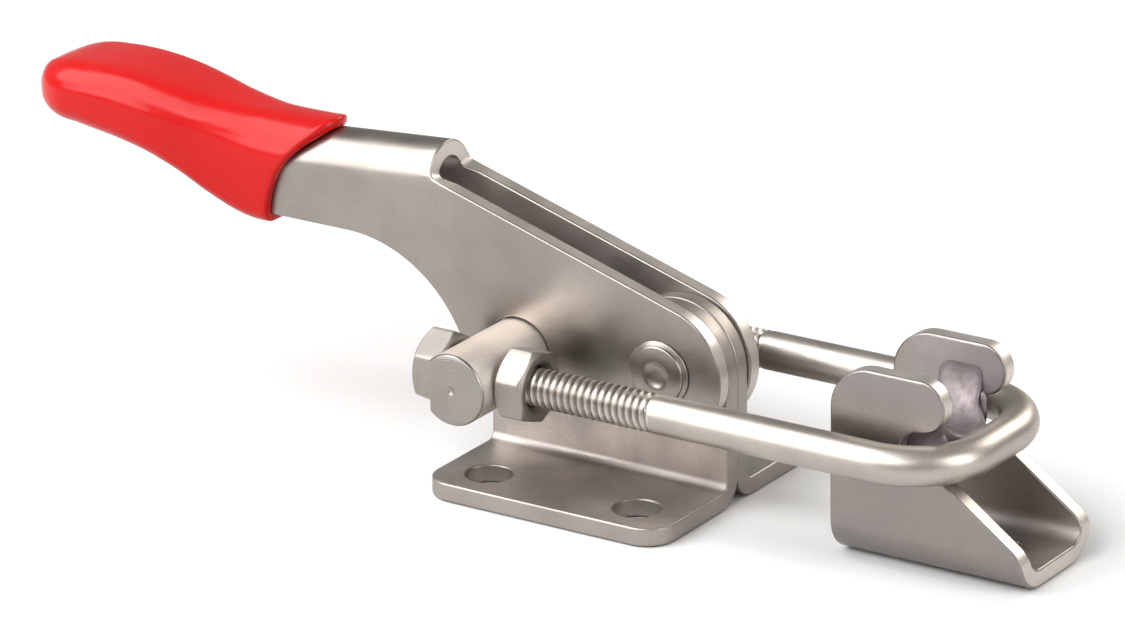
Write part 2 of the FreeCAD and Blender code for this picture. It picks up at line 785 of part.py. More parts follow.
def check(pieces):
    """Stop before anything is written if an object failed or a piece is not one valid solid."""
    for item in doc.Objects:
        if {"Invalid", "Error"} & set(item.State):
            raise RuntimeError(f"{item.Name} failed: {item.State}")
    for piece in pieces:
        if piece.Shape.isNull() or not piece.Shape.isValid() or len(piece.Shape.Solids) != 1:
            raise RuntimeError(f"{piece.Label} is not one valid solid")


def write(pieces):
    os.makedirs("parts", exist_ok=True)
    for piece in pieces:
        piece.Shape.exportStep(f"parts/{piece.Label}.step")
        box = piece.Shape.BoundBox
        print(f"{piece.Label}: {piece.Shape.Volume:.0f} mm3,"
              f" x {box.XMin:.1f}..{box.XMax:.1f}, y {box.YMin:.1f}..{box.YMax:.1f},"
              f" z {box.ZMin:.1f}..{box.ZMax:.1f}")


built = build_all()
check(built)
write(built)
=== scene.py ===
"""Toggle bolt latch: the looks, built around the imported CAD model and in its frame.

Shapes are written in millimetres and stored in metres. +X runs from the base to the latch plate,
+Z is up. The sheet parts are drawn flat, given rounded edges, and then bent. A place in the side
view is (x, z). On a flat sheet, u and v lie in the sheet and w goes through it.
"""

import math

import bmesh
import bpy
from mathutils import Matrix, Vector, noise
from mathutils.geometry import tessellate_polygon


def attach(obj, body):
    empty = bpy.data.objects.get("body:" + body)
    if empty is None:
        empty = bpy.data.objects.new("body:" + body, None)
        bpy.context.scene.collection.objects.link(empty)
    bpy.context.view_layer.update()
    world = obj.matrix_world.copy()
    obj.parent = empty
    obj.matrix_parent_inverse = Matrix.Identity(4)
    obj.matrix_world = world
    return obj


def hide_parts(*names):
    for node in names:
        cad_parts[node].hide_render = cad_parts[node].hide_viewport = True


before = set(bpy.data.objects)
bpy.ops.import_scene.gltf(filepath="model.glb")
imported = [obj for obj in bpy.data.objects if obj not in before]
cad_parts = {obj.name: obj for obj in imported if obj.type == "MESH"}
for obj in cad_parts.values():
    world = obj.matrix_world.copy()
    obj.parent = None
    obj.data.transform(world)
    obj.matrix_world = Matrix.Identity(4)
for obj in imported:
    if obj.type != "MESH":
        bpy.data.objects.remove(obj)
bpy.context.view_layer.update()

MM = 0.001
SHEET = 3.0                    # thickness of the base and the latch plate
EDGE = 0.35                    # rounding of their cut edges
PIVOT = (11.5, 21.6)           # axis of the rivet that the handle turns on
TRUNNION = (-15.2, 19.6)       # axis of the trunnion
TRUNNION_RADIUS = 5.95
TRUNNION_FLAT = 4.2            # from the axis to the flat that the outer nuts sit on
ROD = 3.175                    # radius of the U-bolt's rod
LEG_Y = 16.45                  # middle of each leg of the U-bolt
PITCH = 1.27


# ---------------------------------------------------------------- outlines

def arc(centre, radius, start, end, steps):
    """Points on an arc, angles in degrees; a falling angle runs clockwise."""
    points = []
    for k in range(steps + 1):
        angle = math.radians(start + (end - start) * k / steps)
        points.append((centre[0] + radius * math.cos(angle), centre[1] + radius * math.sin(angle)))
    return points


def rounded(corners, steps=8):
    """Closed polygon; a corner is (u, v, radius)."""
    points = []
    count = len(corners)
    for index, (u, v, radius) in enumerate(corners):
        here = Vector((u, v))
        if radius == 0:
            points.append((u, v))
            continue
        before = (Vector(corners[index - 1][:2]) - here).normalized()
        after = (Vector(corners[(index + 1) % count][:2]) - here).normalized()
        half = before.angle(after) / 2
        centre = here + (before + after).normalized() * (radius / math.sin(half))
        enter = here + before * (radius / math.tan(half)) - centre
        leave = here + after * (radius / math.tan(half)) - centre
        sweep = enter.angle_signed(leave)
        for k in range(steps + 1):
            turned = enter.copy()
            turned.rotate(Matrix.Rotation(-sweep * k / steps, 2))
            points.append(tuple(centre + turned))
    return points


def circle(centre, radius, steps=48):
    """Clockwise, as a hole's outline has to be."""
    return arc(centre, radius, 360, 360 / steps, steps - 1)


def clean(loop, least=0.02):
    """The loop without points that lie on the one before."""
    kept = []
    for point in loop:
        if not kept or math.dist(point, kept[-1]) > least:
            kept.append(point)
    if math.dist(kept[0], kept[-1]) <= least:
        kept.pop()
    return kept


def inset(loop, distance):
    """The loop moved into the material, which lies on its left."""
    moved = []
    count = len(loop)
    for index in range(count):
        here = Vector(loop[index])
        first = (here - Vector(loop[index - 1])).normalized()
        second = (Vector(loop[(index + 1) % count]) - here).normalized()
        normal_a = Vector((-first.y, first.x))
        normal_b = Vector((-second.y, second.x))
        reach = distance / max(0.35, 1 + normal_a.dot(normal_b))
        moved.append(here + (normal_a + normal_b) * reach)
    return moved


# ---------------------------------------------------------------- meshes

def rounded_sheet(outer, holes, thick, edge, steps=3):
    """A flat closed sheet, w from 0 to thick, with rounded edges; rim faces get index 1, the top 2."""
    bm = bmesh.new()
    lower = []
    for k in range(steps + 1):
        angle = math.pi / 2 * k / steps
        lower.append((edge * (1 - math.sin(angle)), edge * (1 - math.cos(angle))))
    profile = lower + [(distance, thick - w) for distance, w in reversed(lower)]
    caps = [[], []]
    for loop in [outer] + holes:
        loop = clean(loop)
        rings = []
        for distance, w in profile:
            rings.append([bm.verts.new((p.x, p.y, w)) for p in inset(loop, distance)])
        count = len(loop)
        for number, (low, high) in enumerate(zip(rings, rings[1:])):
            for k in range(count):
                after = (k + 1) % count
                face = bm.faces.new((low[k], low[after], high[after], high[k]))
                face.material_index = 1 if number == steps else 0
        caps[0].append(rings[0])
        caps[1].append(rings[-1])
    for side, loops in enumerate(caps):
        verts = [vert for loop in loops for vert in loop]
        triangles = tessellate_polygon([[vert.co for vert in loop] for loop in loops])
        for triangle in triangles:
            order = triangle if side else reversed(triangle)
            face = bm.faces.new([verts[index] for index in order])
            face.material_index = 2 * side
    return bm


def slice_across(bm, axis, values):
    """Cuts new edges across the mesh, so that it can be bent there."""
    for value in values:
        point = Vector((0, 0, 0))
        point[axis] = value
        normal = Vector((0, 0, 0))
        normal[axis] = 1
        everything = bm.verts[:] + bm.edges[:] + bm.faces[:]
        bmesh.ops.bisect_plane(bm, geom=everything, dist=1e-5, plane_co=point, plane_no=normal)


def piece(name, bm, body, materials, nodes=(), crease=32, weighted=True):
    """Scales a mesh drawn in millimetres and hands it over as a piece of the object."""
    bmesh.ops.remove_doubles(bm, verts=bm.verts, dist=1e-4)
    bmesh.ops.recalc_face_normals(bm, faces=bm.faces)
    bmesh.ops.scale(bm, vec=(MM, MM, MM), verts=bm.verts)
    mesh = bpy.data.meshes.new(name)
    bm.to_mesh(mesh)
    bm.free()
    for face in mesh.polygons:
        face.use_smooth = True
    mesh.set_sharp_from_angle(angle=math.radians(crease))
    ob = bpy.data.objects.new(name, mesh)
    bpy.context.scene.collection.objects.link(ob)
    for material in materials:
        mesh.materials.append(material)
    if weighted:
        even = ob.modifiers.new("even_normals", "WEIGHTED_NORMAL")
        even.keep_sharp = True
    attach(ob, body)
    if nodes:
        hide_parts(*nodes)
    return ob


def join_rings(bm, rings, closed=False, cap_start=False, cap_end=False):
    """Quads between rings of equal length."""
    pairs = list(zip(rings, rings[1:]))
    if closed:
        pairs.append((rings[-1], rings[0]))
    for low, high in pairs:
        count = len(low)
        for k in range(count):
            after = (k + 1) % count
            bm.faces.new((low[k], low[after], high[after], high[k]))
    if cap_start:
        bm.faces.new(list(reversed(rings[0])))
    if cap_end:
        bm.faces.new(rings[-1])


def smooth_step(low, high, value):
    """Rises gently from 0 at low to 1 at high."""
    share = min(1.0, max(0.0, (value - low) / (high - low)))
    return share * share * (3 - 2 * share)


# ---------------------------------------------------------------- materials

class Nodes:
    """Short names for building a node tree."""

    def __init__(self, name):
        self.material = bpy.data.materials.new(name)
        self.material.use_nodes = True
        self.tree = self.material.node_tree
        self.shader = self.tree.nodes["Principled BSDF"]
        self.place = self.add("ShaderNodeTexCoord").outputs["Object"]

    def add(self, kind, **settings):
        """A new node with its settings."""
        node = self.tree.nodes.new(kind)
        for key, value in settings.items():
            setattr(node, key, value)
        return node

    def link(self, source, target):
        self.tree.links.new(source, target)

    def stretched(self, scale):
        """The object's own coordinates, scaled; a small number draws the pattern out that way."""
        mapping = self.add("ShaderNodeMapping")
        mapping.inputs["Scale"].default_value = scale
        self.link(self.place, mapping.inputs["Vector"])
        return mapping.outputs["Vector"]

    def noise(self, scale, detail=3.0, vector=None, distortion=0.0):
        node = self.add("ShaderNodeTexNoise")
        node.inputs["Scale"].default_value = scale
        node.inputs["Detail"].default_value = detail
        node.inputs["Distortion"].default_value = distortion
        self.link(vector or self.place, node.inputs["Vector"])
        return node.outputs["Fac"]

    def spread(self, value, low, high, start=0.3, end=0.7):
        """Maps start..end on to low..high, and holds there."""
        node = self.add("ShaderNodeMapRange")
        node.inputs["From Min"].default_value = start
        node.inputs["From Max"].default_value = end
        node.inputs["To Min"].default_value = low
        node.inputs["To Max"].default_value = high
        self.link(value, node.inputs["Value"])
        return node.outputs["Result"]

    def mix(self, factor, first, second):
        """Blends two colours; each is a tuple or another node's output."""
        node = self.add("ShaderNodeMix", data_type="RGBA")
        self.link(factor, node.inputs["Factor"])
        for value, socket in ((first, node.inputs["A"]), (second, node.inputs["B"])):
            if isinstance(value, tuple):
                socket.default_value = (*value, 1)
            else:
                self.link(value, socket)
        return node.outputs["Result"]

    def bump(self, height, strength, distance, under=None):
        """Relief of a height in metres, on top of another relief or none."""
        node = self.add("ShaderNodeBump")
        node.inputs["Strength"].default_value = strength
        node.inputs["Distance"].default_value = distance
        self.link(height, node.inputs["Height"])
        if under is not None:
            self.link(under, node.inputs["Normal"])
        return node.outputs["Normal"]


def scaled(colour, factor):
    return tuple(factor * part for part in colour)


def ring_relief(n, centre, under):
    """Fine rings about an axis along Y, as a facing cut leaves them."""
    mapping = n.add("ShaderNodeMapping")
    mapping.inputs["Location"].default_value = (-centre[0] * MM, 0, -centre[1] * MM)
    n.link(n.place, mapping.inputs["Vector"])
    rings = n.add("ShaderNodeTexWave", wave_type="RINGS", rings_direction="Y")
    rings.inputs["Scale"].default_value = 800
    rings.inputs["Distortion"].default_value = 1.5
    rings.inputs["Detail"].default_value = 2.0
    n.link(mapping.outputs["Vector"], rings.inputs["Vector"])
    return n.bump(rings.outputs["Fac"], 0.6, 0.00005, under)


def stained(n, base, place, reach, stain):
    """Colour left by the heat of a weld: full at the place, gone at its reach, with a ragged edge."""
    near = n.add("ShaderNodeVectorMath", operation="DISTANCE")
    n.link(n.place, near.inputs[0])
    near.inputs[1].default_value = place
    ragged = n.add("ShaderNodeMath", operation="ADD")
    n.link(near.outputs["Value"], ragged.inputs[0])
    n.link(n.spread(n.noise(260, 3.0), -0.0015, 0.0015), ragged.inputs[1])
    return n.mix(n.spread(ragged.outputs["Value"], 1, 0, reach * 0.62, reach), base, stain)


def painted_root_shade(n, base, dark, root, crest):
    """Painted shade in a leg's thread: darkens the colour from its crest radius down to its root radius,
    where the grooves fall into shade.
    """
    offset = n.place
    for operation, amount in (("ABSOLUTE", None), ("SUBTRACT", (0, LEG_Y * MM, TRUNNION[1] * MM)),
                              ("MULTIPLY", (0, 1, 1)), ("LENGTH", None)):
        step = n.add("ShaderNodeVectorMath", operation=operation)
        n.link(offset, step.inputs[0])
        if amount:
            step.inputs[1].default_value = amount
        offset = step.outputs["Value" if operation == "LENGTH" else "Vector"]
    return n.mix(n.spread(offset, 1, 0, root, crest), base, dark)


def steel(name, colour, warm, dark, rough=(0.27, 0.38), grain=(1, 1, 1), grain_scale=1500,
          grain_depth=0.000012, turned_about=None, heat=None, root_shade=None):
    """Stainless steel: broad tints, smudges and a fine speckle, over a fine grain. Where asked for,
    it has rings about an axis, a heat stain, or painted shade in the thread roots."""
    n = Nodes(name)
    n.shader.inputs["Metallic"].default_value = 1.0
    tint = n.spread(n.noise(45, 1.0), 0, 1, 0.40, 0.75)
    smudge = n.spread(n.noise(85, 2.0), 0, 1, 0.40, 0.80)
    speckle = n.spread(n.noise(3200, 2.0), 0, 0.22, 0.45, 0.70)
    base = n.mix(smudge, n.mix(tint, colour, warm), dark)
    base = n.mix(speckle, base, scaled(dark, 0.7))
    if heat:
        base = stained(n, base, *heat)
    if root_shade:
        base = painted_root_shade(n, base, scaled(dark, 0.6), *root_shade)
    n.link(base, n.shader.inputs["Base Color"])
    n.link(n.spread(n.noise(150, 3.0), *rough), n.shader.inputs["Roughness"])
    normal = n.bump(n.noise(70, 1.0), 0.2, 0.0002)
    if turned_about:
        normal = ring_relief(n, turned_about, normal)
    fine = n.noise(grain_scale, 3.0, n.stretched(grain))
    n.link(n.bump(fine, 0.35, grain_depth, normal), n.shader.inputs["Normal"])
    return n.material


# name, colour, warmer tint, darker smudge
plate_steel = steel("plate_steel", (0.36, 0.33, 0.305), (0.325, 0.287, 0.255), (0.30, 0.27, 0.25),
                    rough=(0.36, 0.48))
plate_top = steel("plate_top", (0.50, 0.457, 0.425), (0.46, 0.405, 0.365), (0.28, 0.252, 0.233),
                  rough=(0.40, 0.54))
handle_steel = steel("handle_steel", (0.315, 0.289, 0.267), (0.325, 0.287, 0.255), (0.262, 0.238, 0.220))
inner_steel = steel("inner_steel", (0.42, 0.38, 0.355), (0.40, 0.355, 0.325), (0.35, 0.31, 0.29),
                    rough=(0.46, 0.58))
latch_steel = steel("latch_steel", (0.285, 0.260, 0.247), (0.295, 0.262, 0.240), (0.245, 0.222, 0.212),
                    rough=(0.30, 0.42))
tinted_steel = steel("tinted_steel", (0.42, 0.385, 0.36), (0.42, 0.37, 0.335), (0.36, 0.325, 0.305),
                     rough=(0.42, 0.54), heat=((0.0605, 0, 0.0255), 0.0165, (0.50, 0.445, 0.455)))
rod_steel = steel("rod_steel", (0.45, 0.415, 0.38), (0.45, 0.40, 0.35), (0.38, 0.35, 0.318),
                  rough=(0.36, 0.44), grain=(0.1, 1, 1), grain_depth=0.000006)
# The threaded part: its roots are darkened as painted shade.
thread_steel = steel("thread_steel", (0.58, 0.535, 0.49), (0.56, 0.505, 0.45), (0.47, 0.43, 0.39),
                     rough=(0.30, 0.38), grain_depth=0.000006, root_shade=(0.00258, 0.00308))
nut_steel = steel("nut_steel", (0.35, 0.322, 0.296), (0.36, 0.323, 0.288), (0.29, 0.265, 0.243),
                  rough=(0.42, 0.54))
turned_end = steel("turned_end", (0.33, 0.305, 0.285), (0.33, 0.295, 0.26), (0.28, 0.255, 0.235),
                   rough=(0.32, 0.42), turned_about=TRUNNION)
# The trunnion's round side: its colour is set far lighter than the other steels, a painted highlight
# standing in for the bright reflection along it; the stretched grain is its real turned finish.
turned_side_painted_highlight = steel("turned_side_painted_highlight", (0.86, 0.80, 0.74), (0.86, 0.78, 0.70), (0.72, 0.66, 0.61),
                    rough=(0.44, 0.56), grain=(0.1, 1, 0.1), grain_scale=2400, grain_depth=0.00003)
plate_edge = steel("plate_edge", (0.38, 0.345, 0.32), (0.38, 0.335, 0.30), (0.30, 0.272, 0.252),
                   rough=(0.40, 0.54), grain=(1, 1, 0.1), grain_depth=0.00003)
# Cut edges of the handle and the latch plate: a much lighter copy of the steel, a painted highlight
# along the edges; the shear grain is their real finish.
cut_edge_painted_highlight = steel("cut_edge_painted_highlight", (0.62, 0.58, 0.54), (0.62, 0.56, 0.50), (0.54, 0.50, 0.46),
                 rough=(0.34, 0.48), grain=(1, 0.12, 1), grain_depth=0.00002)


def vinyl():
    """Glossy dipped vinyl, a little uneven."""
    n = Nodes("grip_vinyl")
    shade = n.spread(n.noise(60, 2.0), 0, 1)
    n.link(n.mix(shade, (0.46, 0.007, 0.007), (0.42, 0.006, 0.006)), n.shader.inputs["Base Color"])
    n.link(n.spread(n.noise(500, 3.0), 0.16, 0.26), n.shader.inputs["Roughness"])
    n.shader.inputs["Specular IOR Level"].default_value = 0.20
    n.shader.inputs["Subsurface Weight"].default_value = 0.08
    n.shader.inputs["Subsurface Scale"].default_value = 0.002
    n.shader.inputs["Subsurface Radius"].default_value = (1.0, 0.1, 0.1)
    dips = n.bump(n.noise(90, 1.0), 0.4, 0.0002)
    n.link(n.bump(n.noise(1400, 2.0), 0.15, 0.00002, dips), n.shader.inputs["Normal"])
    return n.material


def welded():
    """Weld metal with lilac and straw heat colours, and small lumps."""
    n = Nodes("weld_steel")
    n.shader.inputs["Metallic"].default_value = 1.0
    tint = n.spread(n.noise(240, 3.0, distortion=0.8), 0, 1, 0.40, 0.62)
    straw = n.spread(n.noise(800, 3.0, distortion=0.5), 0, 1, 0.55, 0.68)
    lilac = n.mix(tint, (0.255, 0.222, 0.230), (0.215, 0.187, 0.192))
    n.link(n.mix(straw, lilac, (0.20, 0.165, 0.155)), n.shader.inputs["Base Color"])
    n.link(n.spread(n.noise(900, 4.0), 0.50, 0.66), n.shader.inputs["Roughness"])
    lumps = n.bump(n.noise(420, 3.0, distortion=0.3), 0.25, 0.0002)
    n.link(n.bump(n.noise(2200, 3.0), 0.4, 0.00003, lumps), n.shader.inputs["Normal"])
    return n.material


grip_vinyl = vinyl()
weld_steel = welded()


# ---------------------------------------------------------------- base

BASE_END = 22.3                # half length of the flange
BASE_REACH = 23.8              # from the middle plane to the flange's outer edge
BASE_BEND = 4.4                # outside radius of the fold
BASE_NOSE = 10.8               # round end of the wall, about the rivet
BASE_CORNER = 5.0
WALL_LOW = 13.2                # top of the wall under the trunnion
BOLT_PLACES = ((-13.95, 16.45), (13.95, 16.45))
BOLT_RADIUS = 3.8


def bend_base(bm, side):
    """Folds the flat sheet up into a flange and a wall; w = 0 is the outer surface."""
    middle = BASE_BEND - SHEET / 2
    fold = middle * math.pi / 2
    slice_across(bm, 1, [fold * k / 10 for k in range(11)])
    for vert in bm.verts:
        x, v, w = vert.co
        if v < 0:
            y, z = BASE_BEND - v, w
        elif v > fold:
            y, z = w, BASE_BEND + v - fold
        else:
            angle = v / middle
            y = BASE_BEND - (BASE_BEND - w) * math.sin(angle)
            z = BASE_BEND - (BASE_BEND - w) * math.cos(angle)
        vert.co = (x, side * y, z)


def base_plate(name, side):
    # On the flat sheet the wall's heights shift, because the fold is longer there than it is tall.
    rise = (BASE_BEND - SHEET / 2) * math.pi / 2 - BASE_BEND
    foot = -(BASE_REACH - BASE_BEND)
    px, pz = PIVOT[0], PIVOT[1] + rise
    low = WALL_LOW + rise
    inside, outside = 4, 0.8
    outline = arc((-BASE_END + BASE_CORNER, foot + BASE_CORNER), BASE_CORNER, 180, 270, 10)
    outline += arc((BASE_END - BASE_CORNER, foot + BASE_CORNER), BASE_CORNER, 270, 360, 10)
    outline += arc((px, pz), BASE_NOSE, 0, 180, 40)
    outline += arc((px - BASE_NOSE - inside, low + inside), inside, 0, -90, 10)
    outline += arc((-BASE_END + outside, low - outside), outside, 90, 180, 4)
    holes = [circle((x, BASE_BEND - y), BOLT_RADIUS) for x, y in BOLT_PLACES]
    holes.append(circle((px, pz), 4.0))
    bm = rounded_sheet(outline, holes, SHEET, EDGE)
    bend_base(bm, side)
    piece(name, bm, "base", [plate_steel, plate_edge, plate_top], [name])


base_plate("base_plate_front", -1)
base_plate("base_plate_back", 1)


# ---------------------------------------------------------------- lathe work

def turned(profile, centre, steps=96):
    """Rings of (radius, y) about an axis along Y through (x, z), with flat ends."""
    bm = bmesh.new()
    rings = []
    for radius, y in profile:
        ring = []
        for k in range(steps):
            angle = 2 * math.pi * k / steps
            ring.append(bm.verts.new((centre[0] + radius * math.cos(angle), y,
                                      centre[1] + radius * math.sin(angle))))
        rings.append(ring)
    join_rings(bm, rings)
    bm.faces.new(rings[0])
    bm.faces.new(list(reversed(rings[-1])))
    return bm


def rivet_profile():
    """Both heads and the shank: from a head's dimple out over its rim and back to the shank."""
    face, seat = 7.1, 6.1
    half = [(0.2, face - 0.46), (0.9, face - 0.44), (1.4, face - 0.36), (1.8, face - 0.20),
            (2.1, face - 0.05), (2.3, face), (2.5, face), (4.45, face - 0.02), (4.62, face - 0.06),
            (4.74, face - 0.16), (4.80, face - 0.30), (4.84, face - 0.52), (5.0, face - 0.60),
            (5.35, face - 0.66), (5.45, face - 0.76), (5.50, seat + 0.05), (5.50, seat), (4.0, seat)]
    return [(r, -y) for r, y in half] + [(r, y) for r, y in reversed(half)]


piece("pivot_rivet", turned(rivet_profile(), PIVOT), "base", [handle_steel],
      ["pivot_rivet"], crease=50)


def apply_cut(ob, cutters):
    """Takes the cutters' volume out of a piece and removes them."""
    for cutter in cutters:
        cut = ob.modifiers.new("cut", "BOOLEAN")
        cut.operation = "DIFFERENCE"
        cut.solver = "EXACT"
        cut.object = cutter
    bpy.context.view_layer.update()
    done = bpy.data.meshes.new_from_object(ob.evaluated_get(bpy.context.evaluated_depsgraph_get()))
    ob.modifiers.clear()
    ob.data = done
    for cutter in cutters:
        bpy.data.objects.remove(cutter)


def loose(name, bm):
    """A cutter: an object in metres that is not a piece."""
    bmesh.ops.recalc_face_normals(bm, faces=bm.faces)
    bmesh.ops.scale(bm, vec=(MM, MM, MM), verts=bm.verts)
    mesh = bpy.data.meshes.new(name)
    bm.to_mesh(mesh)
    bm.free()
    ob = bpy.data.objects.new(name, mesh)
    bpy.context.scene.collection.objects.link(ob)
    return ob


def along_x(profile, centre, steps=48):
    """Rings of (radius, x) about an axis along X through (y, z), with flat ends."""
    bm = bmesh.new()
    rings = []
    for radius, x in profile:
        ring = []
        for k in range(steps):
            angle = 2 * math.pi * k / steps
            ring.append(bm.verts.new((x, centre[0] + radius * math.cos(angle),
                                      centre[1] + radius * math.sin(angle))))
        rings.append(ring)
    join_rings(bm, rings, cap_start=True, cap_end=True)
    return bm


def trunnion():
    """A bar along Y with a flat, a centre mark in each end, and a bore for each leg."""
    tx, tz = TRUNNION
    half, bore = 25.0, 3.275
    swing = math.degrees(math.acos(TRUNNION_FLAT / TRUNNION_RADIUS))
    outline = arc(TRUNNION, TRUNNION_RADIUS, -180 + swing, 180 - swing, 72)
    bm = rounded_sheet(outline, [], 2 * half, 0.55, 4)
    for vert in bm.verts:
        u, v, w = vert.co
        vert.co = (u, w - half, v)
    cutters = []
    for side in (-1, 1):
        punch = turned([(0.05, side * (half - 0.26)), (0.45, side * (half - 0.20)),
                        (0.80, side * (half + 0.02)), (1.5, side * (half + 0.6))], TRUNNION, 32)
        cutters.append(loose("punch", punch))
        cutters.append(loose("bore", along_x([(bore, tx - 12), (bore, tx + 12)], (side * LEG_Y, tz))))
    # The round side takes the steel with the painted highlight.
    ob = piece("trunnion", bm, "trunnion_bar", [turned_end, turned_side_painted_highlight, turned_end],
               ["trunnion"], weighted=False)
    apply_cut(ob, cutters)
    ob.data.set_sharp_from_angle(angle=math.radians(32))
    even = ob.modifiers.new("even_normals", "WEIGHTED_NORMAL")
    even.keep_sharp = True


trunnion()


# ---------------------------------------------------------------- handle

ARCH = 6.0                     # outside radius of the channel's round top
HANDLE_SHEET = 2.85
ARCH_MIDDLE = ARCH - HANDLE_SHEET / 2
ARCH_HALF = ARCH_MIDDLE * math.pi / 2
WEB_FRONT = (-32.0, 50.9)      # the two ends of the round top's ridge
WEB_REAR = (-66.0, 48.43)
NOSE = 11.2                    # round front end, about the rivet
SLOPE = 16.8                   # of the side's upper edge, in degrees
TILT = math.atan2(WEB_FRONT[1] - WEB_REAR[1], WEB_FRONT[0] - WEB_REAR[0])


def to_flat(x, z):
    """A point of the side view, laid out on the flat sheet: (along the web, across it)."""
    dx, dz = x - WEB_FRONT[0], z - WEB_FRONT[1]
    along = dx * math.cos(TILT) + dz * math.sin(TILT)
    depth = dx * math.sin(TILT) - dz * math.cos(TILT)
    if depth < ARCH:
        return along, ARCH_MIDDLE * math.acos(max(-1.0, min(1.0, (ARCH - depth) / ARCH)))
    return along, ARCH_HALF + depth - ARCH


def handle_side():
    """Side view from the web's front end, round the nose and back under the channel."""
    slope = math.radians(SLOPE)
    px, pz = PIVOT
    tx, tz = TRUNNION
    tangent = (px + NOSE * math.sin(slope), pz + NOSE * math.cos(slope))
    lip_z = tangent[1] + (tangent[0] - WEB_FRONT[0]) * math.tan(slope)
    shank_centre, shank_radius = (-48.0, 10.5), 24.0
    boss = math.hypot(tx - shank_centre[0], tz - shank_centre[1]) - shank_radius
    rise = math.degrees(math.atan2(tz - shank_centre[1], tx - shank_centre[0]))
    waist, under = 11.6, 34.5
    points = []
    for k in range(1, 25):
        share = (k / 24) ** 1.6
        points.append((WEB_FRONT[0] + (tangent[0] - WEB_FRONT[0]) * share,
                       lip_z + (tangent[1] - lip_z) * share))
    points += arc(PIVOT, NOSE, 90 - SLOPE, -math.degrees(math.asin((pz - waist) / NOSE)), 40)
    points += arc(TRUNNION, boss, -math.degrees(math.asin((tz - waist) / boss)), -180 + rise, 28)
    points += arc(shank_centre, shank_radius, rise, 90, 24)
    points.append((-56.0, under))
    points.append((WEB_REAR[0], under))
    return (WEB_FRONT[0], lip_z), points


def handle_channel():
    """One sheet folded over the web: both sides are drawn on it, mirrored about v = 0."""
    corner, side_points = handle_side()
    lip_v = to_flat(*corner)[1]
    chain = [to_flat(x, z) for x, z in side_points]
    # A fillet stands in for the first points of the side's upper edge, at the foot of the web's lip.
    toe = chain[3]
    fillet = rounded([(0, 0, 0), (0, lip_v, 1.5), (toe[0], toe[1], 0)], 8)
    right = [(0, lip_v * k / 6) for k in range(1, 5)] + fillet[1:-1] + chain[3:]
    right.append((to_flat(*WEB_REAR)[0], 0.6))
    left = [(u, -v) for u, v in reversed(right)]
    outline = [(0, 0)] + right + left
    holes = []
    for place, radius in ((PIVOT, 4.05), (TRUNNION, 6.2)):
        u, v = to_flat(*place)
        holes.append(circle((u, v), radius, 72))
        holes.append(circle((u, -v), radius, 72))
    bm = rounded_sheet(outline, holes, HANDLE_SHEET, 0.32)
    folds = [ARCH_HALF * k / 12 for k in range(-12, 13)]
    slice_across(bm, 1, folds)
    for vert in bm.verts:
        along, v, w = vert.co
        if abs(v) < ARCH_HALF:
            angle = v / ARCH_MIDDLE
            y = (ARCH - w) * math.sin(angle)
            depth = ARCH - (ARCH - w) * math.cos(angle)
        else:
            y = math.copysign(ARCH - w, v)
            depth = ARCH + abs(v) - ARCH_HALF
        x = WEB_FRONT[0] + along * math.cos(TILT) + depth * math.sin(TILT)
        z = WEB_FRONT[1] + along * math.sin(TILT) - depth * math.cos(TILT)
        vert.co = (x, y, z)
    # The cut edges take the steel with the painted highlight.
    piece("handle_channel", bm, "handle", [handle_steel, cut_edge_painted_highlight, inner_steel],
          ["handle_channel"])


handle_channel()


# ---------------------------------------------------------------- grip

# x, half width, underside, top, upper corner, lower corner
GRIP = [
    (-50.0, 7.5, 33.0, 51.25, 7.1, 2.6),
    (-56.0, 7.5, 33.0, 51.0, 7.1, 2.6),
    (-62.0, 7.5, 33.0, 50.85, 6.8, 2.6),
    (-66.0, 7.55, 33.0, 50.8, 6.3, 2.6),
    (-70.0, 7.7, 33.9, 51.0, 5.5, 2.6),
    (-75.0, 8.25, 36.2, 51.5, 5.0, 2.6),
    (-80.0, 9.05, 39.0, 52.3, 4.8, 2.8),
    (-86.0, 9.8, 41.5, 53.2, 4.6, 3.0),
    (-92.0, 10.0, 42.9, 53.9, 4.6, 3.1),
    (-97.0, 9.98, 43.6, 54.1, 4.6, 3.2),
    (-101.0, 9.8, 44.1, 54.0, 4.6, 3.2),
]
GRIP_TIP = -111.2
GRIP_WALL = 1.7
MOUTH = ((51.0, -53.2), (44.0, -59.7), (33.0, -63.0))   # (z, x) of the mouth at three heights


def grip_station(x):
    """The grip's sizes at x, by a smooth curve through the table, and an ellipse at the tip."""
    last = GRIP[-1]
    if x <= last[0]:
        share = min(1.0, (last[0] - x) / (last[0] - GRIP_TIP))
        shrink = math.sqrt(1 - share * share)
        middle = (last[2] + last[3]) / 2 - 0.1 * share
        half_height = (last[3] - last[2]) / 2 * shrink
        return (last[1] * shrink, middle - half_height, middle + half_height,
                max(0.02, last[4] * shrink), max(0.02, last[5] * shrink))
    index = 0
    while index < len(GRIP) - 2 and x < GRIP[index + 1][0]:
        index += 1
    a, b = GRIP[max(index - 1, 0)], GRIP[index]
    c, d = GRIP[index + 1], GRIP[min(index + 2, len(GRIP) - 1)]
    share = (x - b[0]) / (c[0] - b[0])
    values = []
    for k in range(1, 6):
        before = (c[k] - a[k]) / (c[0] - a[0]) * (c[0] - b[0])
        after = (d[k] - b[k]) / (d[0] - b[0]) * (c[0] - b[0])
        s2, s3 = share * share, share ** 3
        values.append((2 * s3 - 3 * s2 + 1) * b[k] + (s3 - 2 * s2 + share) * before
                      + (3 * s2 - 2 * s3) * c[k] + (s3 - s2) * after)
    return tuple(values)


CORNER_STEPS = 9
FLAT_STEPS = 7


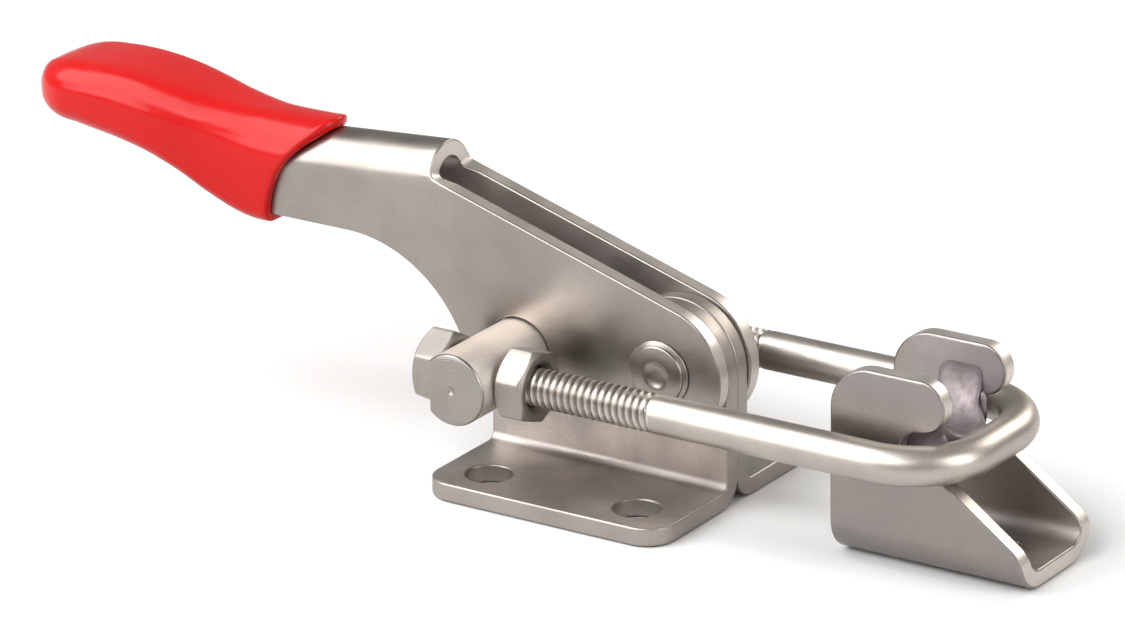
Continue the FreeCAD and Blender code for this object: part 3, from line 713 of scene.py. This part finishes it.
def grip_point(x, number, inward=0.0):
    """Point number of the cross-section at x: corners and flats in turn, from the top right."""
    half, low, high, upper, lower = grip_station(x)
    half, low, high = half - inward, low + inward, high - inward
    upper, lower = max(0.02, upper - inward), max(0.02, lower - inward)
    upper = min(upper, half * 0.98, (high - low) * 0.49)
    lower = min(lower, half * 0.98, (high - low) * 0.49)
    corners = [(half - upper, high - upper, upper, 90), (half - lower, low + lower, lower, 0),
               (-half + lower, low + lower, lower, -90), (-half + upper, high - upper, upper, 180)]
    stretch = CORNER_STEPS + FLAT_STEPS
    corner, step = divmod(number, stretch)
    y0, z0, radius, start = corners[corner]
    if step <= CORNER_STEPS:
        angle = math.radians(start - 90 * step / CORNER_STEPS)
        y, z = y0 + radius * math.cos(angle), z0 + radius * math.sin(angle)
    else:
        share = (step - CORNER_STEPS) / FLAT_STEPS
        angle = math.radians(start - 90)
        y1, z1, r1, start1 = corners[(corner + 1) % 4]
        angle1 = math.radians(start1)
        here = (y0 + radius * math.cos(angle), z0 + radius * math.sin(angle))
        there = (y1 + r1 * math.cos(angle1), z1 + r1 * math.sin(angle1))
        y = here[0] + (there[0] - here[0]) * share
        z = here[1] + (there[1] - here[1]) * share
    paddle = smooth_step(-66, -84, x)
    height = (z - (low + high) / 2) / max(0.1, (high - low) / 2)
    crown = 0.35 * paddle * max(0.0, 1 - (y / max(half, 0.1)) ** 2)
    y *= 1 + 0.03 * (1 - height * height)
    if height > 0:
        z += crown * height
    return y, z


def mouth_x(z):
    """The slanted, hollow cut of the grip's mouth: a parabola through three points."""
    (z0, x0), (z1, x1), (z2, x2) = MOUTH
    return (x0 * (z - z1) * (z - z2) / ((z0 - z1) * (z0 - z2))
            + x1 * (z - z0) * (z - z2) / ((z1 - z0) * (z1 - z2))
            + x2 * (z - z0) * (z - z1) / ((z2 - z0) * (z2 - z1)))


def grip():
    """A skin with a rolled lip: up the inside, round the lip and back to the closed tip."""
    count = 4 * (CORNER_STEPS + FLAT_STEPS)
    top = MOUTH[0][1]
    lip_steps = 8
    bm = bmesh.new()

    def ring_point(base_x, number, inward=0.0, lead=0.0):
        """The slant follows the outer wall, so the mouth is cut square to the surface."""
        x = base_x
        fade = 1 - smooth_step(top - 2, -82, base_x)
        for _ in range(6):
            z = grip_point(x, number)[1]
            x = base_x + (mouth_x(z) - top) * fade
        y, z = grip_point(x, number, inward)
        return Vector((x + lead, y, z))

    rings = []
    for depth in (9.0, 6.0, 3.0, 1.2):
        rings.append([ring_point(top - depth, k, GRIP_WALL) for k in range(count)])
    outer = [ring_point(top - 0.5, k) for k in range(count)]
    inner = [ring_point(top - 0.5, k, GRIP_WALL, 0.15) for k in range(count)]
    for step in range(lip_steps + 1):
        angle = math.pi * step / lip_steps
        ring = []
        for a, b in zip(outer, inner):
            middle = (a + b) / 2
            out = (a - b) / 2
            bulge = 0.55 * math.sin(angle) ** 0.7
            ring.append(middle - out * math.cos(angle) + Vector((bulge, 0, 0)))
        rings.append(ring)
    x = top - 1.2
    while x > GRIP_TIP + 0.02:
        rings.append([ring_point(x, k) for k in range(count)])
        left = x - GRIP_TIP
        x -= max(0.02, min(1.1, left * 0.22))
    verts = [[bm.verts.new(co) for co in ring] for ring in rings]
    join_rings(bm, verts, cap_start=True)
    pole = bm.verts.new((GRIP_TIP, 0, sum(v.co.z for v in verts[-1]) / count))
    last = verts[-1]
    for k in range(count):
        bm.faces.new((last[k], last[(k + 1) % count], pole))
    piece("handle_grip", bm, "handle", [grip_vinyl], ["handle_grip"], crease=80,
          weighted=False)


grip()


# ---------------------------------------------------------------- U-bolt

CROSSBAR_X = 68.6
BEND = 12.0                    # radius of the bends' middle line
LEG_END = -24.35
THREAD_END = 18.0
THREAD_DEPTH = 0.68


def thread_radius(x, angle):
    """Rolled right-hand thread that runs out into the plain rod."""
    phase = (x / PITCH - angle / (2 * math.pi)) % 1.0
    depth = THREAD_DEPTH * min(1.0, max(0.0, abs(2 * phase - 1) - 0.10) / 0.78)
    fade = 1 - smooth_step(THREAD_END - 1.6, THREAD_END + 0.4, x)
    start = 0.75 * (1 - smooth_step(LEG_END, LEG_END + 1.0, x))
    return min(ROD + 0.02 * fade - depth * fade, ROD - start)


def u_bolt():
    """One tube: along the front leg, round both bends and back along the other leg."""
    segments, bend_steps = 44, 20
    bm = bmesh.new()
    rings = []

    def ring(centre, turn, threaded):
        verts = []
        for k in range(segments):
            angle = 2 * math.pi * k / segments
            across = Vector((-math.sin(turn), math.cos(turn), 0)) * math.cos(angle)
            offset = across + Vector((0, 0, math.sin(angle)))
            radius = thread_radius(centre.x, math.atan2(offset.z, offset.y)) if threaded else ROD
            verts.append(bm.verts.new(centre + offset * radius))
        rings.append(verts)

    z = TRUNNION[1]
    xs = []
    x = LEG_END
    while x < THREAD_END + 0.5:
        xs.append(x)
        x += PITCH / 14
    plain_start = THREAD_END + 0.5
    plain = [plain_start + (CROSSBAR_X - BEND - plain_start) * k / 10 for k in range(11)]
    for x in xs:
        ring(Vector((x, -LEG_Y, z)), 0, True)
    for x in plain:
        ring(Vector((x, -LEG_Y, z)), 0, False)
    for side in (-1, 1):
        centre = Vector((CROSSBAR_X - BEND, side * (LEG_Y - BEND), z))
        for k in range(bend_steps + 1):
            if k == 0 and side < 0:
                continue
            turn = math.pi / 2 * k / bend_steps + (math.pi / 2 if side > 0 else 0)
            ring(centre + Vector((math.sin(turn), -math.cos(turn), 0)) * BEND, turn, False)
    for x in reversed(plain[:-1]):
        ring(Vector((x, LEG_Y, z)), math.pi, False)
    for x in reversed(xs):
        ring(Vector((x, LEG_Y, z)), math.pi, True)
    join_rings(bm, rings, cap_start=True, cap_end=True)
    for face in bm.faces:
        face.material_index = int(face.calc_center_median().x < THREAD_END)
    piece("u_bolt", bm, "threaded_bow", [rod_steel, thread_steel], ["u_bolt"], crease=55,
          weighted=False)


u_bolt()


# ---------------------------------------------------------------- nuts

NUT_FLATS = 11.1
NUT_HEIGHT = 5.2
NUT_GAP = 0.15                 # from a nut to the trunnion


def nut(name, body, side, seat, turn):
    """Hexagon nut with turned chamfers; seat is -1 on the trunnion's flat, +1 on its round side."""
    near = TRUNNION[0] + seat * ((TRUNNION_FLAT if seat < 0 else TRUNNION_RADIUS) + NUT_GAP)
    middle = near + seat * NUT_HEIGHT / 2
    half = NUT_HEIGHT / 2
    flats = NUT_FLATS / 2
    land = flats - 0.28
    bm = bmesh.new()
    steps = 120
    rings = [[] for _ in range(12)]
    for k in range(steps):
        degrees = turn + 360 * k / steps
        away = (degrees - turn) % 60 - 30
        reach = min(flats / math.cos(math.radians(away)), flats / math.cos(math.radians(30)) - 0.09)
        drop = (reach - land) * math.tan(math.radians(30))
        # Half of the section, from the countersunk bore over the face to the chamfered corner.
        profile = [(3.25, half - 1.0), (3.95, half - 0.30), (4.15, half - 0.08), (4.4, half),
                   (land, half), (reach, half - drop)]
        profile = profile + [(r, -x) for r, x in reversed(profile)]
        angle = math.radians(degrees)
        for ring, (radius, x) in zip(rings, profile):
            ring.append(bm.verts.new((middle + x, side * LEG_Y + radius * math.cos(angle),
                                      TRUNNION[1] + radius * math.sin(angle))))
    join_rings(bm, rings, closed=True)
    ob = piece(name, bm, body, [nut_steel], [name], crease=24)
    soften = ob.modifiers.new("edges", "BEVEL")
    soften.width = 0.14 * MM
    soften.segments = 2
    soften.limit_method = "ANGLE"
    soften.angle_limit = math.radians(24)
    soften.harden_normals = False
    ob.modifiers.move(1, 0)


nut("nut_front_outer", "front_outer_nut", -1, -1, 30)
nut("nut_front_inner", "front_inner_nut", -1, 1, 41)
nut("nut_back_outer", "back_outer_nut", 1, -1, 18)
nut("nut_back_inner", "back_inner_nut", 1, 1, 5)


# ---------------------------------------------------------------- latch plate

LATCH_HALF = 11.0              # half width over the walls
LATCH_BEND = 6.0               # outside radius of the folds
LATCH_MIDDLE = LATCH_BEND - SHEET / 2
LATCH_FOLD = LATCH_MIDDLE * math.pi / 2
LATCH_WEB = LATCH_HALF - LATCH_BEND


def latch_v(z):
    """Height on a wall, laid out on the flat sheet."""
    return LATCH_WEB + LATCH_FOLD + z - LATCH_BEND


def latch_plate():
    """A channel whose walls rise into ears; a slot under each ear's nose takes the crossbar."""
    rear, front, foot = 45.7, 79.6, 6.0
    slot_floor, ramp = 15.9, 65.8
    top, nose, nose_x, corner = 31.8, 4.2, 61.6, 7.0
    slot = (top - 2 * nose - slot_floor) / 2
    ramp_corner = rounded([(front, 0, 0), (front, latch_v(foot), 4.0),
                           (ramp, latch_v(slot_floor), 0.6), (nose_x, latch_v(slot_floor), 0)], 8)
    right = ramp_corner[1:-1]
    right += [(nose_x + 0.01, latch_v(slot_floor))]
    right += arc((nose_x, latch_v(slot_floor + slot)), slot, 270, 90, 20)
    right += arc((nose_x, latch_v(top - nose)), nose, -90, 90, 28)
    right += arc((rear + corner, latch_v(top - corner)), corner, 90, 180, 16)
    left = [(u, -v) for u, v in reversed(right)]
    outline = [(front, 0)] + right + left
    holes = [circle((x, 0), 2.75) for x in (50.3, 70.3)]
    bm = rounded_sheet(outline, holes, SHEET, EDGE)
    folds = [LATCH_WEB + LATCH_FOLD * k / 10 for k in range(11)]
    slice_across(bm, 1, folds + [-v for v in folds])
    for vert in bm.verts:
        x, v, w = vert.co
        side = math.copysign(1, v)
        v = abs(v)
        if v < LATCH_WEB:
            y, z = v, w
        elif v > LATCH_WEB + LATCH_FOLD:
            y, z = LATCH_HALF - w, LATCH_BEND + v - LATCH_WEB - LATCH_FOLD
        else:
            angle = (v - LATCH_WEB) / LATCH_MIDDLE
            y = LATCH_WEB + (LATCH_BEND - w) * math.sin(angle)
            z = LATCH_BEND - (LATCH_BEND - w) * math.cos(angle)
        vert.co = (x, side * y, z)
    # The cut edges take the steel with the painted highlight.
    piece("latch_plate", bm, "latch", [latch_steel, cut_edge_painted_highlight, tinted_steel],
          ["latch_plate"])


latch_plate()


def hook_saddle():
    """The trough the crossbar is pulled against: a half circle between the ears, run out on them."""
    half, centre_z, base, back = 7.98, 28.58, 15.95, 54.0
    columns, subdivisions = 64, 6
    bm = bmesh.new()
    rings = []
    for k in range(columns + 1):
        swing = math.radians(-87 + 174 * k / columns)
        y = half * math.sin(swing)
        top = centre_z - half * math.cos(swing)
        front = 65.0 - (3.3 if y > 0 else 1.2) * smooth_step(3.2, 7.4, abs(y))
        loop = rounded([(back, base, 0.4), (front, base, 0.4), (front, top, 1.2), (back, top, 2.4)], 6)
        ring = []
        for index, point in enumerate(loop):
            after = loop[(index + 1) % len(loop)]
            for step in range(subdivisions):
                x = point[0] + (after[0] - point[0]) * step / subdivisions
                z = point[1] + (after[1] - point[1]) * step / subdivisions
                place = Vector((x, y, z))
                lump = noise.noise(place * 0.35) * 0.22 + noise.noise(place * 1.1) * 0.05
                lump *= math.cos(swing) ** 0.5
                ring.append(bm.verts.new(place + Vector((lump * (x > 60), 0, lump * (z > 18)))))
        rings.append(ring)
    join_rings(bm, rings, cap_start=True, cap_end=True)
    piece("hook_saddle", bm, "latch", [weld_steel], ["hook_saddle"], crease=70,
          weighted=False)


hook_saddle()


def weld_bead(name, route):
    """A lumpy run of weld in the corner between an ear and the saddle's front."""
    route = [Vector(point) for point in route]
    bm = bmesh.new()
    rings = []
    steps, sides = 70, 14
    for k in range(steps + 1):
        share = k / steps * (len(route) - 1)
        index = min(int(share), len(route) - 2)
        a, b = route[index], route[index + 1]
        centre = a.lerp(b, share - index)
        tangent = (b - a).normalized()
        first = tangent.cross(Vector((1, 0, 0))).normalized()
        second = tangent.cross(first)
        taper = math.sin(math.pi * min(1.0, max(0.03, k / steps)) ** 0.9) ** 0.35
        ripple = 1 + 0.18 * noise.noise(centre * 0.5)
        radius = 0.7 * taper * ripple
        ring = []
        for j in range(sides):
            angle = 2 * math.pi * j / sides
            offset = (first * math.cos(angle) + second * math.sin(angle)) * radius
            ring.append(bm.verts.new(centre + offset))
        rings.append(ring)
    join_rings(bm, rings, cap_start=True, cap_end=True)
    piece(name, bm, "latch", [weld_steel], crease=80, weighted=False)


weld_bead("weld_front", [(63.6, -7.7, 22.6), (64.0, -7.5, 21.0), (64.0, -7.4, 19.4), (63.8, -7.5, 17.6)])
weld_bead("weld_back", [(61.9, 7.75, 24.2), (62.2, 7.5, 23.0), (62.3, 7.3, 21.4), (62.2, 7.3, 19.6),
                        (62.0, 7.4, 17.9)])


# ---------------------------------------------------------------- stage

def floor():
    n = Nodes("floor")
    n.shader.inputs["Base Color"].default_value = (0.68, 0.68, 0.68, 1)
    n.shader.inputs["Roughness"].default_value = 0.85
    n.shader.inputs["Specular IOR Level"].default_value = 0.1
    mesh = bpy.data.meshes.new("floor")
    reach, z = 6.0, -0.0002
    corners = [(-reach, -reach, z), (reach, -reach, z), (reach, reach, z), (-reach, reach, z)]
    mesh.from_pydata(corners, [], [(0, 1, 2, 3)])
    mesh.materials.append(n.material)
    ob = bpy.data.objects.new("floor", mesh)
    bpy.context.scene.collection.objects.link(ob)


floor()

AIM = (-0.015, 0, 0.03)


def softbox(name, place, size, power, colour=(1, 1, 1)):
    """A rectangular area light that faces the object."""
    data = bpy.data.lights.new(name, "AREA")
    data.shape = "RECTANGLE"
    data.size, data.size_y = size
    data.energy = power
    data.color = colour
    ob = bpy.data.objects.new(name, data)
    ob.location = place
    ob.rotation_euler = (Vector(AIM) - Vector(place)).to_track_quat("-Z", "Y").to_euler()
    bpy.context.scene.collection.objects.link(ob)


softbox("upper_left", (-0.60, -0.46, 0.86), (1.05, 1.0), 17)
softbox("behind", (0.33, 1.00, 0.62), (0.66, 0.40), 5.5, (1.0, 0.95, 0.88))
softbox("left_low", (-0.80, -1.15, 0.42), (0.7, 0.40), 5)
softbox("front", (0.03, -0.94, 0.82), (0.6, 0.36), 6)
softbox("right", (1.1, 0.0, 0.55), (0.5, 0.8), 8)

world = bpy.data.worlds.new("studio")
world.use_nodes = True
world.node_tree.nodes["Background"].inputs["Color"].default_value = (0.80, 0.79, 0.78, 1)
world.node_tree.nodes["Background"].inputs["Strength"].default_value = 0.45
bpy.context.scene.world = world
bpy.context.scene.view_settings.view_transform = "Standard"


def camera():
    """Stands where the photograph was taken from, with its long lens."""
    azimuth, elevation, roll = math.radians(33.459), math.radians(20.388), math.radians(-0.767)
    back = Vector((math.sin(azimuth) * math.cos(elevation), -math.cos(azimuth) * math.cos(elevation),
                   math.sin(elevation)))
    level = Vector((math.cos(azimuth), math.sin(azimuth), 0))
    upright = back.cross(level)
    right = level * math.cos(roll) + upright * math.sin(roll)
    up = back.cross(right)
    data = bpy.data.cameras.new("camera")
    data.sensor_width = 36.0
    data.lens = 202.86
    data.clip_end = 20.0
    ob = bpy.data.objects.new("camera", data)
    place = Vector((-0.01049, 0, 0.02552)) + back * 1.00953
    ob.matrix_world = Matrix.Translation(place) @ Matrix((right, up, back)).transposed().to_4x4()
    bpy.context.scene.collection.objects.link(ob)
    bpy.context.scene.camera = ob


camera()
